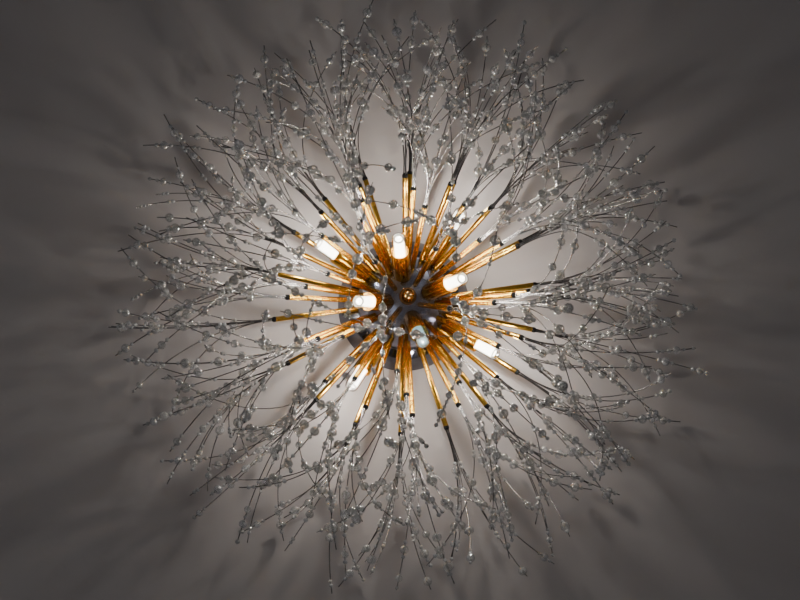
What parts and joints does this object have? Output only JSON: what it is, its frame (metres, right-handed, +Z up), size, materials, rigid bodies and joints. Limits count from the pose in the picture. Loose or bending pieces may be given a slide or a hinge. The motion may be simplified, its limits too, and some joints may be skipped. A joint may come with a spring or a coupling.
{
  "type": "sputnik chandelier",
  "caption": "Ceiling light with a domed hub under a round canopy, gilt tubes radiating from it with sprays of beaded wire, and capsule lamps in long cups between them.",
  "frame": {"origin": "centre of the ceiling bracket's top face, in the ceiling plane, on the axis of the threaded rod", "axes": "+Z up into the ceiling, the light hangs towards -Z; +Y along the ceiling bracket"},
  "size_m": [0.6242, 0.6051, 0.3321],
  "materials": {
    "bracket_steel": "zinc plated",
    "earth_green": "green passivated",
    "smoke_chrome": "polished, smoky dark",
    "gilt": "polished gilt",
    "bronze": "dark polished bronze",
    "black_plastic": "matt black",
    "spray": "stiff dark steel wire",
    "ceramic": "unglazed white",
    "lamp_base": "white lamp base with tinned pins",
    "lamp_glass": "clear cover, lit",
    "terminal_white": "natural nylon",
    "lead_insulation": "heat resistant sleeve"
  },
  "bodies": {
    "fixture": {"ceiling_bracket": "bracket_steel", "earth_screw": "earth_green", "rod_lock_nut": "bracket_steel", "centre_rod": "bracket_steel", "canopy": "smoke_chrome", "hub": "smoke_chrome", "finial_washer": "bronze", "terminal_block": "terminal_white", "splice_caps": "terminal_white", "supply_leads": "lead_insulation", "lamp_leads": "lead_insulation", "lamp_holders_inner": "ceramic", "lamp_holders_outer": "ceramic", "socket_cup_1": "gilt", "socket_cup_2": "gilt", "socket_cup_3": "gilt", "socket_cup_4": "gilt", "socket_cup_5": "gilt", "socket_cup_6": "gilt", "socket_cup_7": "gilt", "socket_cup_8": "gilt", "tubes_ring_a": "gilt", "tube_plugs_ring_a": "black_plastic", "beaded_sprays_ring_a": "spray", "tubes_ring_b": "gilt", "tube_plugs_ring_b": "black_plastic", "beaded_sprays_ring_b": "spray", "tubes_ring_c": "gilt", "tube_plugs_ring_c": "black_plastic", "beaded_sprays_ring_c": "spray", "tubes_ring_d": "gilt", "tube_plugs_ring_d": "black_plastic", "beaded_sprays_ring_d": "spray", "tubes_ring_e": "gilt", "tube_plugs_ring_e": "black_plastic", "beaded_sprays_ring_e": "spray"},
    "finial": {"finial": "bronze"},
    "lamp_1": {"lamp_1_base": "lamp_base", "lamp_1_glass": "lamp_glass"},
    "lamp_2": {"lamp_2_base": "lamp_base", "lamp_2_glass": "lamp_glass"},
    "lamp_3": {"lamp_3_base": "lamp_base", "lamp_3_glass": "lamp_glass"},
    "lamp_4": {"lamp_4_base": "lamp_base", "lamp_4_glass": "lamp_glass"},
    "lamp_5": {"lamp_5_base": "lamp_base", "lamp_5_glass": "lamp_glass"},
    "lamp_6": {"lamp_6_base": "lamp_base", "lamp_6_glass": "lamp_glass"},
    "lamp_7": {"lamp_7_base": "lamp_base", "lamp_7_glass": "lamp_glass"},
    "lamp_8": {"lamp_8_base": "lamp_base", "lamp_8_glass": "lamp_glass"}
  },
  "joints": [
    {"name": "finial_turn", "type": "hinge", "parent": "fixture", "child": "finial", "pos_m": [0, 0, -0.0835], "axis": [0, 0, 1], "continuous": true},
    {"name": "lamp_1_pull", "type": "slide", "parent": "fixture", "child": "lamp_1", "axis": [0.1056, 0.4574, -0.8829], "range_m": [0, 0.014]},
    {"name": "lamp_2_pull", "type": "slide", "parent": "fixture", "child": "lamp_2", "axis": [-0.4574, 0.1056, -0.8829], "range_m": [0, 0.014]},
    {"name": "lamp_3_pull", "type": "slide", "parent": "fixture", "child": "lamp_3", "axis": [-0.1056, -0.4574, -0.8829], "range_m": [0, 0.014]},
    {"name": "lamp_4_pull", "type": "slide", "parent": "fixture", "child": "lamp_4", "axis": [0.4574, -0.1056, -0.8829], "range_m": [0, 0.014]},
    {"name": "lamp_5_pull", "type": "slide", "parent": "fixture", "child": "lamp_5", "axis": [0.811, 0.5068, -0.2924], "range_m": [0, 0.014]},
    {"name": "lamp_6_pull", "type": "slide", "parent": "fixture", "child": "lamp_6", "axis": [-0.5068, 0.811, -0.2924], "range_m": [0, 0.014]},
    {"name": "lamp_7_pull", "type": "slide", "parent": "fixture", "child": "lamp_7", "axis": [-0.811, -0.5068, -0.2924], "range_m": [0, 0.014]},
    {"name": "lamp_8_pull", "type": "slide", "parent": "fixture", "child": "lamp_8", "axis": [0.5068, -0.811, -0.2924], "range_m": [0, 0.014]}
  ]
}
